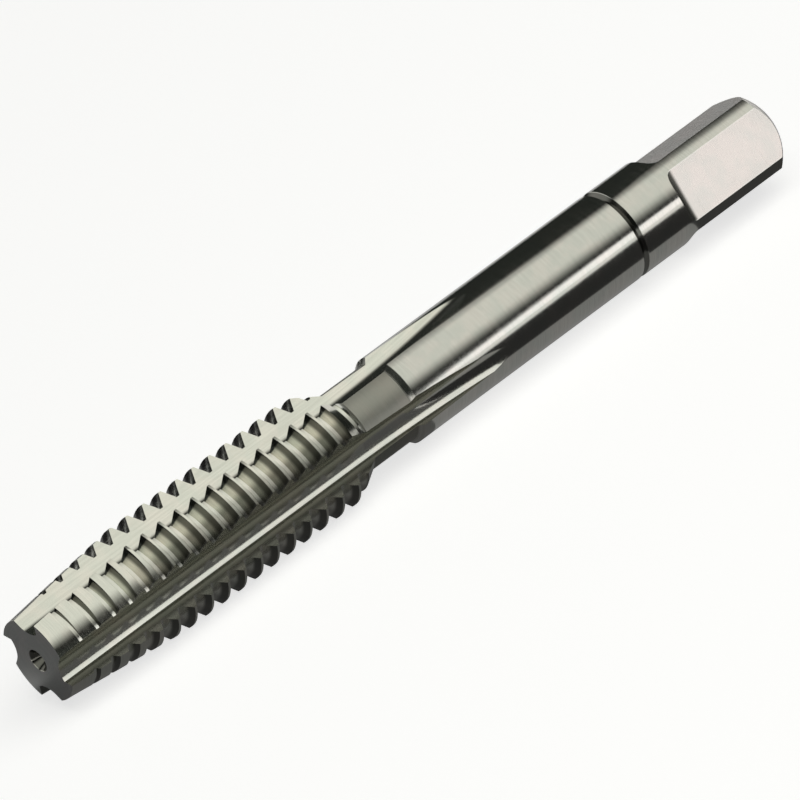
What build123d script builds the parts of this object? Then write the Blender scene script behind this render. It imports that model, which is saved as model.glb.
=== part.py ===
"""A straight-fluted hand tap, ground from one bar of high speed steel.

The tap is drawn standing on its cutting end, with its axis along Z, and is then laid on its side:
axis along X, cutting end at -X, driving square at +X. One flute faces straight down, so the tap
lies on the two lands beside that flute, and they touch Z = 0.
"""
from build123d import *
import os
from math import cos, hypot, radians, tan

os.makedirs("parts", exist_ok=True)

# ---------------------------------------------------------------- driving dimensions, mm and degrees
INCH = 25.4
overall_length = 2.5 * INCH

thread_diameter = 5 / 16 * INCH
threads_per_inch = 18
thread_angle = 60
thread_end = 24.3              # the full thread ends here and the back chamfer starts
chamfer_slope = 30             # back chamfer of the thread, from the axis
first_gap = 1.646              # where the thread groove first crosses a land
first_land = 45                # and the turn of that land's middle

tip_diameter = 6.3
lead_length = 7.6              # taper that spreads the first cuts over several teeth
lead_relief = 4                # angle at which the lead falls away behind each cutting edge

neck_diameter = 5.7
neck_end = 29.95
shoulder_slope = 45            # shoulder of the shank, from the axis
shank_diameter = 6.4
ring_station = 50.1            # grinding ring near the square
ring_width = 0.52              # its two sides stand square to each other

square_size = 5.2              # across flats
square_length = 9.5            # with its run-out
square_runout = 0.8            # radius left by the milling cutter
square_turn = 75               # from the flutes
dome_length = 1.0              # the rim of the square's end is part of a ball
end_radius = 2.1               # flat left inside that rim

flute_count = 4
land_width = 43                # seen from the axis
core_diameter = 4.2            # steel left between the flutes
flute_root_radius = 1.55
root_turn = 11                 # deepest line, from the flute's middle towards the cutting face
root_corner = 18               # how far round from there the root meets the cutting face
heel_slope = 46                # heel side of the flute, from the flute's middle line
wheel_radius = 85              # grinding wheel that leaves the flute's long run-out
wheel_arc = 12                 # of which this much passes through the shank

centre_diameter = 1.6          # female centres in both ends
centre_angle = 60
pilot_diameter = 0.7
pilot_depth = 1.9

# ---------------------------------------------------------------- worked out from them
pitch = INCH / threads_per_inch
thread_depth = 0.6134 * pitch  # unified form, with crest and root flats
crest_flat = pitch / 8
crest_radius = thread_diameter / 2
root_radius = crest_radius - thread_depth
tip_radius = tip_diameter / 2
neck_radius = neck_diameter / 2
shank_radius = shank_diameter / 2
core_radius = core_diameter / 2
half_flute = 180 / flute_count - land_width / 2
neck_start = thread_end + (crest_radius - neck_radius) / tan(radians(chamfer_slope))
shoulder_end = neck_end + (shank_radius - neck_radius) / tan(radians(shoulder_slope))
ring_side = ring_width * cos(radians(45))
square_start = overall_length - square_length
dome_centre = (shank_radius**2 - end_radius**2 - dome_length**2) / (2 * dome_length)
dome_radius = hypot(shank_radius, dome_centre)
clear = 2 * pitch              # how far a cutter runs past what it cuts

# ---------------------------------------------------------------- thread groove across one land
# A V groove with a flat root follows the right-hand helix over one land, from flute to flute.
flank = tan(radians(thread_angle / 2))
half_root = (pitch - crest_flat) / 2 - thread_depth * flank
groove_reach = thread_depth + crest_flat / 2
half_mouth = half_root + groove_reach * flank
groove_turn = land_width + half_flute

with BuildPart() as tooth_gap:
    with BuildLine() as groove_path:
        Helix(pitch=pitch, height=pitch * groove_turn / 360, radius=root_radius)
    with BuildSketch(Plane.XZ):
        with BuildLine():
            Polyline(
                (root_radius, -half_root),
                (root_radius + groove_reach, -half_mouth),
                (root_radius + groove_reach, half_mouth),
                (root_radius, half_root),
                close=True,
            )
        make_face()
    sweep(path=groove_path.line, is_frenet=True)

# Every next land meets the same helix a step of a turn further and a step of a pitch higher.
step_turn = 360 / flute_count
step_rise = pitch / flute_count
gap_count = int((neck_start - first_gap) / step_rise)
gap_places = [
    Location(
        (0, 0, first_gap + k * step_rise - pitch * groove_turn / 720),
        (0, 0, first_land + k * step_turn - groove_turn / 2),
    )
    for k in range(gap_count)
]

# ---------------------------------------------------------------- flute: what one wheel grinds away
# The section is a round root with two flat sides. The heel side runs into the root smoothly. The
# cutting face leans back under its land, and meets the root in a corner. Past the end of the
# thread the wheel lifts out along its own rim.
cutting_edge = Vector(crest_radius, 0).rotate(Axis.Z, half_flute)
root_centre = Vector(core_radius + flute_root_radius, 0).rotate(Axis.Z, root_turn)
face_start = root_centre - Vector(flute_root_radius, 0).rotate(Axis.Z, -root_corner)
heel_start = root_centre - Vector(0, flute_root_radius).rotate(Axis.Z, -heel_slope)
heel_side = Vector(2 * crest_radius, 0).rotate(Axis.Z, -heel_slope)

with BuildPart() as flute:
    with BuildSketch(Plane.XY.offset(thread_end)) as flute_section:
        with BuildLine():
            CenterArc(root_centre, flute_root_radius, 180 - root_corner, 90 + root_corner - heel_slope)
            Polyline(heel_start, heel_start + heel_side, 2 * cutting_edge - face_start, face_start)
        make_face()
    extrude(amount=-(thread_end + clear))
    wheel_axis = Axis((core_radius + wheel_radius, 0, thread_end), (0, 1, 0))
    revolve(flute_section.sketch, axis=wheel_axis, revolution_arc=wheel_arc)

# ---------------------------------------------------------------- lead: taper and relief of one land
# The lead is an eccentric cone: full size at the cutting edge, and lower towards the heel.
taper = (crest_radius - tip_radius) / lead_length
eccentricity = crest_radius * tan(radians(lead_relief))
cone_centre = Vector(eccentricity, 0).rotate(Axis.Z, half_flute - 90)
lead_top = lead_length + eccentricity / taper + clear
quarter = 2 * crest_radius

with BuildPart() as lead_cut:
    with BuildSketch(Plane.XY.offset(-clear)):
        Rectangle(quarter, quarter, align=(Align.MIN, Align.MIN))
    extrude(amount=clear + lead_top)
    with Locations((cone_centre.X, cone_centre.Y, -clear)):
        Cone(
            bottom_radius=tip_radius - taper * clear,
            top_radius=tip_radius + taper * lead_top,
            height=clear + lead_top,
            align=(Align.CENTER, Align.CENTER, Align.MIN),
            mode=Mode.SUBTRACT,
        )

# ---------------------------------------------------------------- one flat of the square
with BuildPart() as square_flat:
    with BuildSketch(Plane.XZ) as flat_section:
        with Locations((square_size / 2, square_start)):
            Rectangle(shank_diameter, square_length + clear, align=(Align.MIN, Align.MIN))
        fillet(flat_section.vertices().sort_by(Axis.Z)[:2].sort_by(Axis.X)[0], square_runout)
    extrude(amount=shank_diameter, both=True)

# ---------------------------------------------------------------- the tap, standing on its cutting end
with BuildPart() as standing_tap:
    with BuildSketch(Plane.XZ):
        with BuildLine():
            outline = Polyline(
                (0, 0),
                (crest_radius, 0),
                (crest_radius, thread_end),
                (neck_radius, neck_start),
                (neck_radius, neck_end),
                (shank_radius, shoulder_end),
                (shank_radius, overall_length - dome_length),
            )
            dome = RadiusArc(outline @ 1, (end_radius, overall_length), -dome_radius)
            Polyline(dome @ 1, (0, overall_length), (0, 0))
        make_face()
    revolve(axis=Axis.Z)

    with BuildSketch(Plane.XZ):
        with Locations((shank_radius, ring_station)):
            Rectangle(ring_side, ring_side, rotation=45)
    revolve(axis=Axis.Z, mode=Mode.SUBTRACT)

    with PolarLocations(0, flute_count):
        add(lead_cut.part, mode=Mode.SUBTRACT)
    with PolarLocations(0, flute_count):
        add(flute.part, mode=Mode.SUBTRACT)
    with PolarLocations(0, 4, start_angle=square_turn):
        add(square_flat.part, mode=Mode.SUBTRACT)
    with Locations(Plane.XY.offset(overall_length), -Plane.XY):
        CounterSinkHole(
            pilot_diameter / 2, centre_diameter / 2, pilot_depth, counter_sink_angle=centre_angle
        )
    with Locations(*gap_places):
        add(tooth_gap.part, mode=Mode.SUBTRACT)

# ---------------------------------------------------------------- laid on its side
axis_height = crest_radius * cos(radians(half_flute))
lying_plane = Plane(origin=(-overall_length / 2, 0, axis_height), x_dir=(0, 0, 1), z_dir=(1, 0, 0))

with BuildPart() as thread_tap:
    with Locations(lying_plane):
        add(standing_tap.part)

thread_tap.part.label = "thread_tap"
export_step(thread_tap.part, "parts/thread_tap.step")
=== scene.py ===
"""Looks of the hand tap: a ground steel tool on a pale floor, under plain soft studio light."""
import math

import bpy
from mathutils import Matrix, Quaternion, Vector


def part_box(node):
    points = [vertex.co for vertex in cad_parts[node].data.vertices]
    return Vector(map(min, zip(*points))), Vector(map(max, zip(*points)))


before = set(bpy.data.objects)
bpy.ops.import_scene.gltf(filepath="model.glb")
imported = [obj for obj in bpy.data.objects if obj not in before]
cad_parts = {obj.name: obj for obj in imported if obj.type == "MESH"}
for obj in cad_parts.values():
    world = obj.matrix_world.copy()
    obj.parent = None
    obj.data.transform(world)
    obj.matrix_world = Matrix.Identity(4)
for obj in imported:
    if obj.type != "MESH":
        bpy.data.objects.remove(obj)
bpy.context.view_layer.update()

MM = 0.001
low, high = (Vector(corner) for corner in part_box("thread_tap"))
AXIS_HEIGHT = (low.z + high.z) / 2
TIP_X = low.x

# Stations along the tap from its cutting end, and radii about its axis, in mm.
NECK_START = 26.0
NECK_END = 29.95
RING_STATION = 50.1
SQUARE_START = 54.0
OVERALL_LENGTH = 63.5
CREST_RADIUS = 3.97
ROOT_RADIUS = 3.10
NECK_RADIUS = 2.85
SHANK_RADIUS = 3.2
TIP_RADIUS = 3.15
CENTRE_RADIUS = 0.82
CENTRE_DEPTH = 2.0
LEAD_TAPER = 0.108             # rise of the crest for each mm of the lead

# Degrees about the axis.
FLUTE_STEP = 90.0              # from one flute to the next
HALF_FLUTE = 23.5
LAND_WIDTH = 43.0


# ---------------------------------------------------------------- small helpers
class Wiring:
    """Short ways to add nodes to one tree. A value is a number or another node's output."""

    def __init__(self, tree):
        self.nodes = tree.nodes
        self.links = tree.links

    def add(self, kind, **settings):
        node = self.nodes.new(kind)
        for key, value in settings.items():
            setattr(node, key, value)
        return node

    def feed(self, socket, value):
        if isinstance(value, bpy.types.NodeSocket):
            self.links.new(value, socket)
        else:
            socket.default_value = value

    def math(self, operation, first, second=0.0, third=0.0):
        node = self.add("ShaderNodeMath", operation=operation)
        for socket, value in zip(node.inputs, (first, second, third)):
            self.feed(socket, value)
        return node.outputs[0]

    def both(self, first, second):
        return self.math("MULTIPLY", first, second)

    def outside(self, mask):
        return self.math("SUBTRACT", 1.0, mask)

    def magnitude(self, value):
        return self.math("ABSOLUTE", value)

    def ramp(self, value, start, end, low_value=0.0, high_value=1.0):
        """Runs smoothly from low_value at start to high_value at end."""
        node = self.add("ShaderNodeMapRange", interpolation_type="SMOOTHSTEP")
        for socket, given in zip(node.inputs, (value, start, end, low_value, high_value)):
            self.feed(socket, given)
        return node.outputs[0]

    def blend(self, factor, first, second, blend_type="MIX"):
        """Goes from the first colour or value to the second as the factor goes from 0 to 1."""
        node = self.add("ShaderNodeMix", data_type="RGBA", blend_type=blend_type)
        for index, value in ((0, factor), (6, first), (7, second)):
            if isinstance(value, tuple):
                value = (*value, 1)
            self.feed(node.inputs[index], value)
        return node.outputs[2]

    def surface(self, shader):
        self.feed(self.add("ShaderNodeOutputMaterial").inputs[0], shader.outputs[0])


def put_in_scene(obj):
    bpy.context.scene.collection.objects.link(obj)
    return obj


def new_material(name):
    """An empty node material, and the wiring of its tree."""
    material = bpy.data.materials.new(name)
    material.use_nodes = True
    material.node_tree.nodes.clear()
    return material, Wiring(material.node_tree)


def new_group(name, inputs, outputs):
    """An empty shader node group: returns the group, its wiring, its inputs and its outputs."""
    group = bpy.data.node_groups.new(name, "ShaderNodeTree")
    for title in inputs:
        group.interface.new_socket(title, in_out="INPUT", socket_type="NodeSocketFloat")
    for title in outputs:
        group.interface.new_socket(title, in_out="OUTPUT", socket_type="NodeSocketFloat")
    wiring = Wiring(group)
    given = wiring.add("NodeGroupInput").outputs
    return group, wiring, given, wiring.add("NodeGroupOutput").inputs


# ---------------------------------------------------------------- camera
VIEW_AZIMUTH = math.radians(329.64)
VIEW_ELEVATION = math.radians(24.59)
VIEW_ROLL = math.radians(22.77)
VIEW_DISTANCE = 594.64 * MM
AIM = Vector((-0.69, 0.15, 3.17)) * MM
SENSOR = 36
LENS = 424.7
CLIP_RATIO = 100               # how far the clip planes lie from the view distance, both ways


def make_camera():
    """The camera looks down on the tap from beyond its cutting end, rolled with the tap's slope."""
    back = Vector((
        math.sin(VIEW_AZIMUTH) * math.cos(VIEW_ELEVATION),
        -math.cos(VIEW_AZIMUTH) * math.cos(VIEW_ELEVATION),
        math.sin(VIEW_ELEVATION),
    ))
    data = bpy.data.cameras.new("camera")
    data.sensor_width = SENSOR
    data.lens = LENS
    data.clip_start = VIEW_DISTANCE / CLIP_RATIO
    data.clip_end = VIEW_DISTANCE * CLIP_RATIO
    camera = put_in_scene(bpy.data.objects.new("camera", data))
    camera.rotation_mode = "QUATERNION"
    camera.location = AIM + back * VIEW_DISTANCE
    level = (-back).to_track_quat("-Z", "Y")
    camera.rotation_quaternion = Quaternion(back, -VIEW_ROLL) @ level
    bpy.context.scene.camera = camera


# ---------------------------------------------------------------- floor and light
FLOOR_SIZE = 6.0
FLOOR_PAINT = (0.75, 0.75, 0.75, 1)
FLOOR_GLOW = 0.7
ROOM_COLOUR = (0.8, 0.9, 0.8, 1)
ROOM_LIGHT = 0.03

WHITE = (1, 1, 1)
CREAM_WHITE = (1, 1, 0.94)
WARM_WHITE = (1, 1, 0.98)
ROSE_WHITE = (1, 0.98, 0.99)

# Softboxes stand beside the axis, at one distance from it in m. A span and its two fades are
# degrees about the axis, from straight up towards +Y.
SOFTBOX_DISTANCE = 0.45
OVERHEAD_SPAN, OVERHEAD_FADES = (-78, 16), (34, 22)
REAR_SPAN, REAR_FADES = (20, 86), (16, 20)

# Each one's span, its fades, its reach in X in m, its radiance and its colour. The main softbox
# lights the scene, and the others are there for the metal to mirror.
MAIN_SOFTBOX = "overhead softbox"
SOFTBOXES = {
    MAIN_SOFTBOX: (OVERHEAD_SPAN, OVERHEAD_FADES, (-0.30, 0.80), 0.92, CREAM_WHITE),
    "overhead softbox left": (OVERHEAD_SPAN, OVERHEAD_FADES, (-0.62, -0.30), 0.8, CREAM_WHITE),
    "rear softbox left": (REAR_SPAN, REAR_FADES, (-0.70, 0.12), 0.8, WARM_WHITE),
    "rear softbox right": (REAR_SPAN, REAR_FADES, (0.36, 1.00), 0.8, WARM_WHITE),
}

# What the polished steel mirrors of the floor near it: a radiance, and an outline in mm.
FLOOR_CARD_HEIGHT = 0.02
FLOOR_CARDS = {
    "shade under the thread":
        (0.10, [(-60, -10), (3.8, -10), (0.3, -4.8), (0.3, 4), (-60, 4)]),
    "shade under the shank":
        (0.25, [(0.3, -4.4), (24, -4.4), (24, 4), (0.3, 4)]),
    "shade under the square":
        (0.05, [(24, -4.4), (60, -4.4), (60, 4), (24, 4)]),
    "dark floor before the thread":
        (0.04, [(-60, -13), (5.5, -13), (3.8, -10), (-60, -10)]),
    "dark floor before the shank":
        (0.03, [(0.3, -4.4), (3.8, -10), (5.5, -13), (14, -22), (60, -22), (60, -4.4)]),
    "floor behind":
        (0.35, [(-34, 4), (60, 4), (60, 40), (-34, 40)]),
    "floor at the tip":
        (0.14, [(-60, 4), (-34, 4), (-34, 40), (-60, 40)]),
    "far floor behind the thread":
        (0.04, [(-200, 40), (14, 40), (14, 300), (-200, 300)]),
    "far floor behind the shank":
        (0.62, [(14, 40), (200, 40), (400, 300), (14, 300)]),
}

# Bright cards that stand on the floor at one side: from x, to x and top in mm, radiance, colour.
LOW_CARD_Y = -60
LOW_CARDS = {
    "low card beside the shank": (29.5, 100, 14, 1.5, ROSE_WHITE),
    "low card beside the thread": (6.5, 29.5, 11, 1.0, WHITE),
    "low card beside the lead": (-8, 6.5, 20, 1.3, WHITE),
}


def stage_card(name, corners, material):
    """A flat card through the given corners that isn't part of the object."""
    mesh = bpy.data.meshes.new(name)
    mesh.from_pydata([Vector(corner) for corner in corners], [], [tuple(range(len(corners)))])
    mesh.materials.append(material)
    card = put_in_scene(bpy.data.objects.new(name, mesh))
    return card


def make_floor():
    """A pale floor: lit where it lies free, and bright of itself for the eye and for metal."""
    material, wiring = new_material("pale floor")
    paint = wiring.add("ShaderNodeBsdfDiffuse")
    paint.inputs["Color"].default_value = FLOOR_PAINT
    ray = wiring.add("ShaderNodeLightPath").outputs
    seen = wiring.math("MAXIMUM", ray["Is Camera Ray"], ray["Is Glossy Ray"])
    glow = wiring.add("ShaderNodeEmission")
    wiring.feed(glow.inputs["Strength"], wiring.both(seen, FLOOR_GLOW))
    paint_and_glow = wiring.add("ShaderNodeAddShader")
    wiring.feed(paint_and_glow.inputs[0], paint.outputs[0])
    wiring.feed(paint_and_glow.inputs[1], glow.outputs[0])
    wiring.surface(paint_and_glow)
    half = FLOOR_SIZE / 2
    corners = [(-half, -half, 0), (half, -half, 0), (half, half, 0), (-half, half, 0)]
    stage_card("floor", corners, material)


def make_world():
    """A dim room, so that what the metal shows comes from the lamps and the floor."""
    world = bpy.data.worlds.new("studio")
    bpy.context.scene.world = world
    world.use_nodes = True
    world.node_tree.nodes.clear()
    wiring = Wiring(world.node_tree)
    room = wiring.add("ShaderNodeBackground")
    room.inputs["Color"].default_value = ROOM_COLOUR
    room.inputs["Strength"].default_value = ROOM_LIGHT
    wiring.feed(wiring.add("ShaderNodeOutputWorld").inputs[0], room.outputs[0])


def only_metal_sees(card):
    """Takes the card out of everything but reflections: it neither lights nor shades the floor."""
    card.visible_camera = False
    card.visible_diffuse = False
    card.visible_shadow = False
    card.visible_transmission = False


def beside_axis(angle, distance, along):
    """A point beside the tap, at an angle in degrees from straight up towards +Y."""
    turn = math.radians(angle)
    return Vector((along, math.sin(turn) * distance, AXIS_HEIGHT + math.cos(turn) * distance))


def softbox(name, span, fades, x_range, radiance, colour):
    """A big diffuser beside the tap, over a span of angles, that fades out towards both ends."""
    material, wiring = new_material(name)
    start, end = span
    left, right = x_range
    place = wiring.add("ShaderNodeSeparateXYZ")
    position = wiring.add("ShaderNodeNewGeometry").outputs["Position"]
    wiring.feed(place.inputs[0], position)
    height = wiring.math("SUBTRACT", place.outputs[2], AXIS_HEIGHT)
    angle = wiring.math("DEGREES", wiring.math("ARCTAN2", place.outputs[1], height))
    rise = wiring.ramp(angle, start, start + fades[0])
    fall = wiring.ramp(angle, end - fades[1], end, 1.0, 0.0)
    lamp = wiring.add("ShaderNodeEmission")
    lamp.inputs["Color"].default_value = (*colour, 1)
    wiring.feed(lamp.inputs["Strength"], wiring.both(wiring.both(rise, fall), radiance))
    wiring.surface(lamp)
    reach = SOFTBOX_DISTANCE / math.cos(math.radians((end - start) / 2))
    corners = [(start, left), (end, left), (end, right), (start, right)]
    card = stage_card(name, [beside_axis(turn, reach, x) for turn, x in corners], material)
    card.visible_camera = False
    return card


def reflection_card(name, corners, radiance, colour=WHITE):
    """A card of even radiance that only the metal sees: its corners are in mm."""
    material, wiring = new_material(name)
    glow = wiring.add("ShaderNodeEmission")
    glow.inputs["Color"].default_value = (*colour, 1)
    glow.inputs["Strength"].default_value = radiance
    wiring.surface(glow)
    only_metal_sees(stage_card(name, [Vector(corner) * MM for corner in corners], material))


def make_lamps():
    for name, settings in SOFTBOXES.items():
        card = softbox(name, *settings)
        if name != MAIN_SOFTBOX:
            only_metal_sees(card)


def make_cards():
    """The cards that lie on the floor, and the ones that stand on it."""
    for name, (radiance, outline) in FLOOR_CARDS.items():
        reflection_card(name, [(x, y, FLOOR_CARD_HEIGHT) for x, y in outline], radiance)
    for name, (left, right, top, radiance, colour) in LOW_CARDS.items():
        corners = [(left, 0), (right, 0), (right, top), (left, top)]
        reflection_card(name, [(x, LOW_CARD_Y, z) for x, z in corners], radiance, colour)


# ---------------------------------------------------------------- steel
BRIGHT_STEEL = (0.74, 0.735, 0.67)     # flutes and thread, polished by use
GROUND_STEEL = (0.625, 0.62, 0.58)     # shank
DULL_STEEL = (0.345, 0.34, 0.305)      # neck, left as turned
MILLED_STEEL = (0.69, 0.655, 0.62)     # square
FACED_STEEL = (0.50, 0.50, 0.49)       # both ends
PAINTED_DARK_SHADE = (0.085, 0.085, 0.075)     # painted shade: grooves, hollows, run-out, ring, centre holes and the lands' heels
PAINTED_FLUTE_SHADE = (0.12, 0.12, 0.11)     # painted shade on the cutting faces in the flutes

# From the shank's ground steel up: a mask, how much of the layer shows there, and its colour.
LAYERS = (
    ("before the neck", 1.0, BRIGHT_STEEL),
    ("neck", 1.0, DULL_STEEL),
    ("flute", 1.0, BRIGHT_STEEL),
    # These layers, from the cutting side to the ring and the centre, are painted shade that darkens
    # the steel.
    ("cutting side", 0.92, PAINTED_FLUTE_SHADE),
    ("leading flank", 0.88, PAINTED_DARK_SHADE),
    ("towards the heel", 0.5, PAINTED_DARK_SHADE),
    ("flat", 1.0, MILLED_STEEL),
    ("run-out", 0.95, PAINTED_DARK_SHADE),
    ("ring", 0.85, PAINTED_DARK_SHADE),
    ("end", 1.0, FACED_STEEL),
    ("centre", 0.9, PAINTED_DARK_SHADE),
)

POLISHED_ROUGHNESS = 0.13
ROUGHER = (("neck", 0.40), ("cutting side", 0.26), ("flat", 0.24), ("end", 0.30))
GRAIN_ROUGHNESS = (-0.02, 0.04)        # what the marks add, between and on them

# Spacing of the marks in mm, and how many times longer than wide they are.
TURNED_MARKS = (0.07, 40.0)
FLUTE_MARKS = (0.09, 45.0)
MILLED_MARKS = (0.16, 14.0)
FACED_MARKS = (0.09, 30.0)
MARK_DETAIL = 3
GRAIN_SHADES = ((0.94, 0.94, 0.94), (1.04, 1.04, 1.04))
GRAIN_DEPTH = 0.002 * MM
GRAIN_STRENGTH = 0.35

FILM_SCALE = 620
FILM_DETAIL = 4
FILM_TINTS = ((0.93, 0.95, 0.93), (1.0, 0.985, 0.965))


def fine_lines_group():
    """Grinding or turning marks: noise drawn out along the marks, from 0 to 1.

    Marks = noise(across / spacing, along / (spacing * stretch), depth / (spacing * stretch)).
    """
    inputs = ("Across", "Along", "Depth", "Spacing", "Stretch")
    group, wiring, given, result = new_group("fine lines", inputs, ("Marks",))
    long_spacing = wiring.math("MULTIPLY", given["Spacing"], given["Stretch"])
    place = wiring.add("ShaderNodeCombineXYZ")
    wiring.feed(place.inputs[0], wiring.math("DIVIDE", given["Across"], given["Spacing"]))
    wiring.feed(place.inputs[1], wiring.math("DIVIDE", given["Along"], long_spacing))
    wiring.feed(place.inputs[2], wiring.math("DIVIDE", given["Depth"], long_spacing))
    noise = wiring.add("ShaderNodeTexNoise")
    noise.inputs["Scale"].default_value = 1
    noise.inputs["Detail"].default_value = MARK_DETAIL
    wiring.feed(noise.inputs["Vector"], place.outputs[0])
    wiring.feed(result["Marks"], noise.outputs[0])
    return group


def place_on_tap_group():
    """Where a point lies on the tap, in mm and radians, from its Object coordinates.

    Station runs along the axis from the cutting end. Radius and Turn are about the axis.
    Lengthwise and Around are the normal's parts along the axis and round it.
    """
    outputs = ("Station", "Radius", "Turn", "Lengthwise", "Around")
    group, wiring, _, result = new_group("place on the tap", (), outputs)
    math_node = wiring.math
    place = wiring.add("ShaderNodeSeparateXYZ")
    wiring.feed(place.inputs[0], wiring.add("ShaderNodeTexCoord").outputs["Object"])
    normal = wiring.add("ShaderNodeSeparateXYZ")
    wiring.feed(normal.inputs[0], wiring.add("ShaderNodeNewGeometry").outputs["Normal"])
    side = math_node("DIVIDE", place.outputs[1], MM)
    height = math_node("DIVIDE", math_node("SUBTRACT", place.outputs[2], AXIS_HEIGHT), MM)
    square = math_node("ADD", wiring.both(side, side), wiring.both(height, height))
    radius = math_node("SQRT", square)
    from_side = wiring.both(normal.outputs[1], height)
    from_up = wiring.both(normal.outputs[2], side)
    around = math_node("DIVIDE", math_node("SUBTRACT", from_side, from_up), radius)
    from_tip = math_node("SUBTRACT", place.outputs[0], TIP_X)
    wiring.feed(result["Station"], math_node("DIVIDE", from_tip, MM))
    wiring.feed(result["Radius"], radius)
    wiring.feed(result["Turn"], math_node("ARCTAN2", side, height))
    wiring.feed(result["Lengthwise"], normal.outputs[0])
    wiring.feed(result["Around"], around)
    return group


def operation_masks(wiring, place):
    """Where each operation has left its surface, and where shade is painted, as masks from 0 to 1.

    The two numbers after a ramp's value say where the mask is empty and where it is full, unless
    two more say otherwise.
    """
    math_node, ramp, both, outside = wiring.math, wiring.ramp, wiring.both, wiring.outside
    station, radius = place["Station"], place["Radius"]
    lengthwise, around = place["Lengthwise"], place["Around"]

    before_neck = ramp(station, NECK_START - 0.1, NECK_START + 0.1, 1.0, 0.0)
    before_shoulder = ramp(station, NECK_END - 0.05, NECK_END + 0.15, 1.0, 0.0)
    off_square = ramp(station, SQUARE_START - 0.6, SQUARE_START - 0.5, 1.0, 0.0)
    sideways = ramp(wiring.magnitude(around), 0.2, 0.35)
    end = ramp(wiring.magnitude(lengthwise), 0.93, 0.97)

    under_roots = both(ramp(radius, ROOT_RADIUS - 0.08, ROOT_RADIUS - 0.16), before_neck)
    flute = both(math_node("MAXIMUM", sideways, under_roots), off_square)
    # The cutting faces are rougher, and are also painted dark: painted shade in the flutes.
    cutting_side = both(ramp(around, 0.6, 0.9), off_square)

    under_neck = ramp(radius, NECK_RADIUS - 0.04, NECK_RADIUS - 0.10)
    neck = both(math_node("SUBTRACT", before_shoulder, before_neck),
                outside(math_node("MAXIMUM", under_neck, sideways)))

    under_shank = ramp(radius, SHANK_RADIUS - 0.01, SHANK_RADIUS - 0.03)
    flat = both(outside(off_square), under_shank)
    # Painted shade: the run-out of the flats and the ring groove are darkened.
    run_out = both(flat, ramp(station, SQUARE_START + 0.9, SQUARE_START + 0.6))
    from_ring = wiring.magnitude(math_node("SUBTRACT", station, RING_STATION))
    ring = both(ramp(from_ring, 0.6, 0.5),
                ramp(radius, SHANK_RADIUS - 0.015, SHANK_RADIUS - 0.04))

    # Painted shade: the centre holes at both ends are darkened.
    from_end = math_node("MINIMUM", station, math_node("SUBTRACT", OVERALL_LENGTH, station))
    centre = both(ramp(radius, CENTRE_RADIUS, CENTRE_RADIUS - 0.06),
                  ramp(from_end, CENTRE_DEPTH + 0.2, CENTRE_DEPTH))

    # The flank that leads into the work is painted darker the nearer it is to the crest: painted
    # shade.
    lead_crest = math_node("MULTIPLY_ADD", station, LEAD_TAPER, TIP_RADIUS)
    depth = math_node("SUBTRACT", math_node("MINIMUM", CREST_RADIUS, lead_crest), radius)
    leading = both(both(ramp(lengthwise, -0.3, -0.5), before_neck), outside(end))
    leading_flank = both(leading, ramp(depth, 0.58, 0.32))

    # How far round a land a point is: 0 at its cutting edge and 1 at its heel.
    degrees = math_node("DEGREES", math_node("MULTIPLY", place["Turn"], -1.0))
    from_flute = math_node("FLOORED_MODULO", degrees, FLUTE_STEP)
    round_land = math_node("DIVIDE", math_node("SUBTRACT", from_flute, HALF_FLUTE), LAND_WIDTH)
    land = both(before_neck, outside(flute))
    # Painted shade: each land is darker towards its heel.
    towards_heel = both(both(land, ramp(round_land, 0.40, 0.72)), ramp(station, 6.0, 10.0))

    return {
        "before the neck": before_neck, "neck": neck, "flute": flute,
        "cutting side": cutting_side, "leading flank": leading_flank,
        "towards the heel": towards_heel, "flat": flat, "run-out": run_out, "ring": ring,
        "end": end, "centre": centre,
    }


def tool_grain(wiring, place, masks):
    """Marks of the wheel and the cutter, each along its own way."""
    lines = fine_lines_group()
    station, radius, turn = place["Station"], place["Radius"], place["Turn"]
    arc = wiring.math("MULTIPLY", turn, SHANK_RADIUS)

    def marks(across, along, depth, spacing_and_stretch):
        node = wiring.add("ShaderNodeGroup", node_tree=lines)
        for socket, value in zip(node.inputs, (across, along, depth, *spacing_and_stretch)):
            wiring.feed(socket, value)
        return node.outputs["Marks"]

    grain = marks(station, arc, 0.0, TURNED_MARKS)
    grain = wiring.blend(masks["flute"], grain, marks(arc, station, radius, FLUTE_MARKS))
    grain = wiring.blend(masks["flat"], grain, marks(station, arc, radius, MILLED_MARKS))
    return wiring.blend(masks["end"], grain, marks(radius, turn, 0.0, FACED_MARKS))


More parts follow.
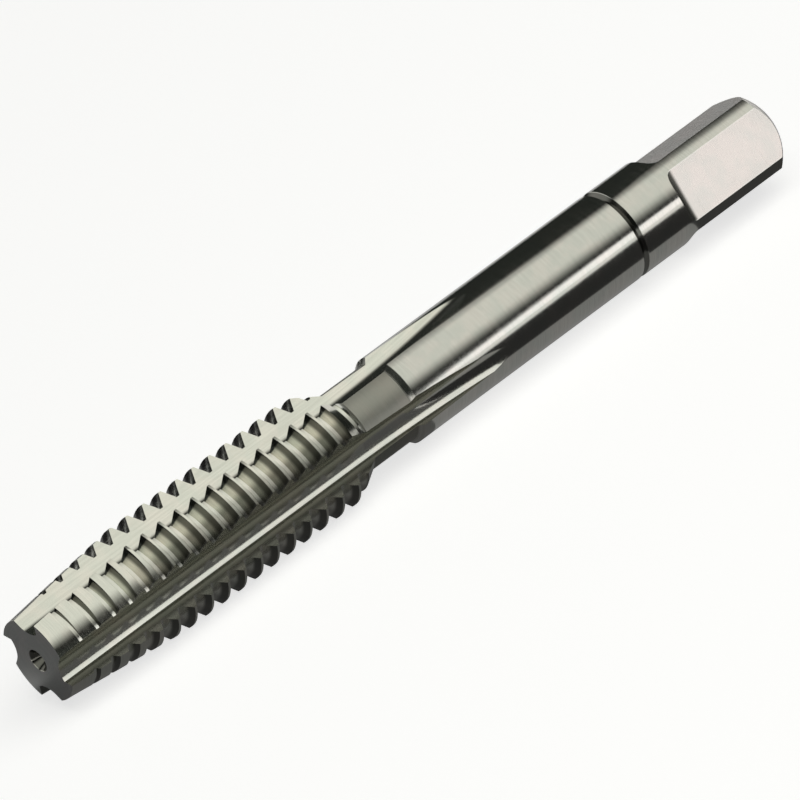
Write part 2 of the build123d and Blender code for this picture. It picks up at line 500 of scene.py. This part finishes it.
def steel_colour(wiring, masks, grain):
    """The steel of each operation with painted shade in its hollows and dark faces, tinted by its
    marks and by slow changes in a film of oil.
    """
    film = wiring.add("ShaderNodeTexNoise")
    film.inputs["Scale"].default_value = FILM_SCALE
    film.inputs["Detail"].default_value = FILM_DETAIL
    wiring.feed(film.inputs["Vector"], wiring.add("ShaderNodeTexCoord").outputs["Object"])

    colour = GROUND_STEEL
    for name, share, layer in LAYERS:
        colour = wiring.blend(wiring.both(masks[name], share), colour, layer)
    tint = wiring.blend(wiring.ramp(film.outputs[0], 0.38, 0.62), *FILM_TINTS)
    shade = wiring.blend(wiring.ramp(grain, 0.3, 0.7), *GRAIN_SHADES)
    colour = wiring.blend(1.0, colour, tint, "MULTIPLY")
    return wiring.blend(1.0, colour, shade, "MULTIPLY")


def steel_roughness(wiring, masks, grain):
    """Polished, but for what one operation or another has left rougher."""
    roughness = POLISHED_ROUGHNESS
    for name, rougher in ROUGHER:
        there = wiring.ramp(masks[name], 0.0, 1.0, POLISHED_ROUGHNESS, rougher)
        roughness = wiring.math("MAXIMUM", roughness, there)
    return wiring.math("ADD", roughness, wiring.ramp(grain, 0.2, 0.8, *GRAIN_ROUGHNESS))


def ground_tool_steel():
    """One bar of steel with the finish of each operation: turned, ground, milled and worn, and with
    painted shade.
    """
    material, wiring = new_material("ground tool steel")
    place = wiring.add("ShaderNodeGroup", node_tree=place_on_tap_group()).outputs
    masks = operation_masks(wiring, place)
    grain = tool_grain(wiring, place, masks)

    relief = wiring.add("ShaderNodeBump")
    relief.inputs["Strength"].default_value = GRAIN_STRENGTH
    relief.inputs["Distance"].default_value = GRAIN_DEPTH
    wiring.feed(relief.inputs["Height"], grain)

    steel = wiring.add("ShaderNodeBsdfPrincipled")
    steel.inputs["Metallic"].default_value = 1
    wiring.feed(steel.inputs["Base Color"], steel_colour(wiring, masks, grain))
    wiring.feed(steel.inputs["Roughness"], steel_roughness(wiring, masks, grain))
    wiring.feed(steel.inputs["Normal"], relief.outputs[0])
    wiring.surface(steel)
    return material


# ---------------------------------------------------------------- the scene
make_camera()
make_floor()
make_world()
make_lamps()
make_cards()

tool_steel = ground_tool_steel()
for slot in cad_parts["thread_tap"].material_slots:
    slot.material = tool_steel

bpy.context.scene.view_settings.view_transform = "Standard"
